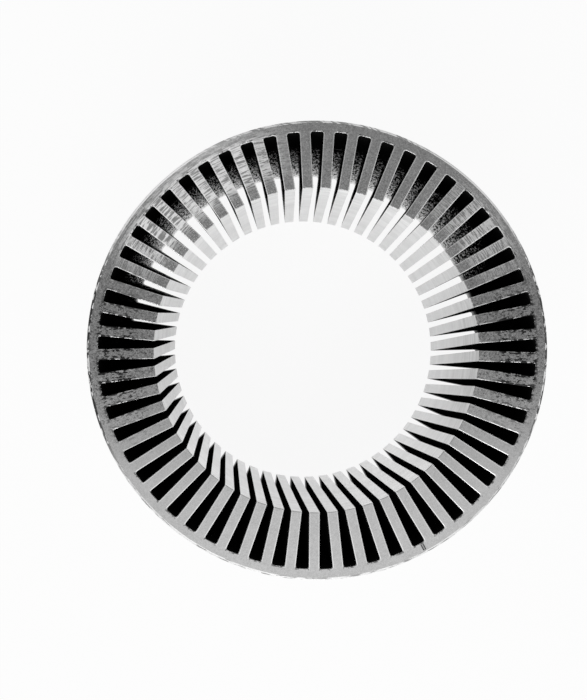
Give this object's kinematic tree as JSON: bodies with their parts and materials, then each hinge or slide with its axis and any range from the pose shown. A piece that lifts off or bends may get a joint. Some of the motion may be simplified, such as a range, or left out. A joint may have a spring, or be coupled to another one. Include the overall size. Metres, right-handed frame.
{
  "type": "stator lamination stack",
  "caption": "Bonded ring of punched electrical-steel sheets with skewed open slots and parallel-sided teeth around a bore, for an electric motor's stator.",
  "frame": {"origin": "centre of the rear end face, on the axis of the bore", "axes": "+Z along the axis of the bore, from the rear face to the marked front face; +X through the middle of a slot on the front face"},
  "size_m": [0.15, 0.15, 0.075],
  "materials": {
    "electrical_steel": "punched sheet, dull grey, with bright cut edges"
  },
  "bodies": {
    "root": {"lamination_stack": "electrical_steel"}
  },
  "joints": []
}
